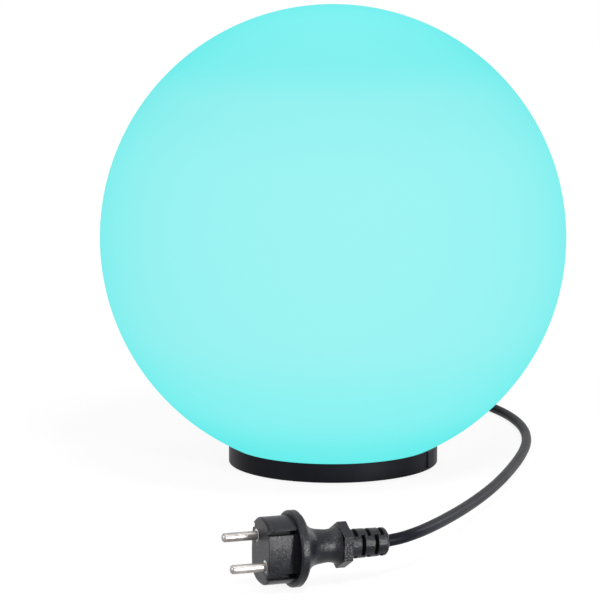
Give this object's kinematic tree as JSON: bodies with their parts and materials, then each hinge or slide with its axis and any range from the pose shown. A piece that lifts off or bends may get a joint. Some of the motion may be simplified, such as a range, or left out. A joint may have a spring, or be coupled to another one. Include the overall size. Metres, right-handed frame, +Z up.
{
  "type": "garden globe light",
  "caption": "Round glowing garden light: a plastic globe on a low black base, with a screw-in lamp inside and a black mains cord with a plug.",
  "frame": {"origin": "on the ground under the globe's axis, at the underside of the feet", "axes": "+Z up the globe's axis, +Y to the cord's exit at the back, +X to the right seen from the front"},
  "size_m": [0.3, 0.5475, 0.297],
  "materials": {
    "globe": "satin, lit from inside",
    "base_black": "satin, fine moulded grain",
    "screw_steel": "zinc plated",
    "rubber_black": "matte",
    "seal_grey": "soft matte foam rubber",
    "clip_grey": "satin nylon",
    "cord_black": "soft satin rubber sheath",
    "wire_brown": "satin insulation",
    "wire_blue": "satin insulation",
    "brass": "stamped",
    "holder_black": "heatproof, satin",
    "holder_ceramic": "unglazed",
    "cap_nickel": "bright rolled",
    "glass_black": "gloss",
    "tip_solder": "soldered",
    "lamp_white": "satin",
    "board_green": "lacquered",
    "board_white": "white lacquer",
    "led_yellow": "phosphor",
    "lamp_diffuser": "frosted, lit from inside",
    "tie_black": "hook and loop tape",
    "plug_rubber": "fine moulded grain",
    "pin_nickel": "nickel plated",
    "collar_white": "satin"
  },
  "bodies": {
    "base": {"base_housing": "base_black", "bottom_plate": "base_black", "bottom_plate_screws": "screw_steel", "feet": "rubber_black", "seal_ring": "seal_grey", "cord_gland": "rubber_black", "gland_clip": "clip_grey", "cord_inner": "cord_black", "wire_brown": "wire_brown", "wire_blue": "wire_blue", "terminal_block": "clip_grey", "terminal_sleeves": "brass", "terminal_screws": "screw_steel", "block_screw": "screw_steel", "lead_brown": "wire_brown", "lead_blue": "wire_blue", "lampholder_body": "holder_black", "lampholder_insulator": "holder_ceramic", "lampholder_shell": "brass", "lampholder_contact": "brass", "lampholder_screws": "screw_steel", "cord_tail": "cord_black", "cord_coil": "cord_black", "coil_tie": "tie_black", "cord_lead": "cord_black", "plug_body": "plug_rubber", "plug_pins": "pin_nickel", "plug_pin_collars": "collar_white"},
    "globe": {"globe_shell": "globe"},
    "lamp": {"bulb_cap": "cap_nickel", "bulb_insulator": "glass_black", "bulb_tip": "tip_solder", "bulb_housing": "lamp_white", "bulb_driver": "board_green", "bulb_led_board": "board_white", "bulb_leds": "led_yellow", "bulb_diffuser": "lamp_diffuser"}
  },
  "joints": [
    {"name": "globe_turn", "type": "hinge", "parent": "base", "child": "globe", "pos_m": [0, 0, 0.0139], "axis": [0, 0, 1], "range_deg": [0, 30]},
    {"name": "lamp_lift", "type": "slide", "parent": "base", "child": "lamp", "axis": [0, 0, 1], "range_m": [0, 0.04]}
  ]
}
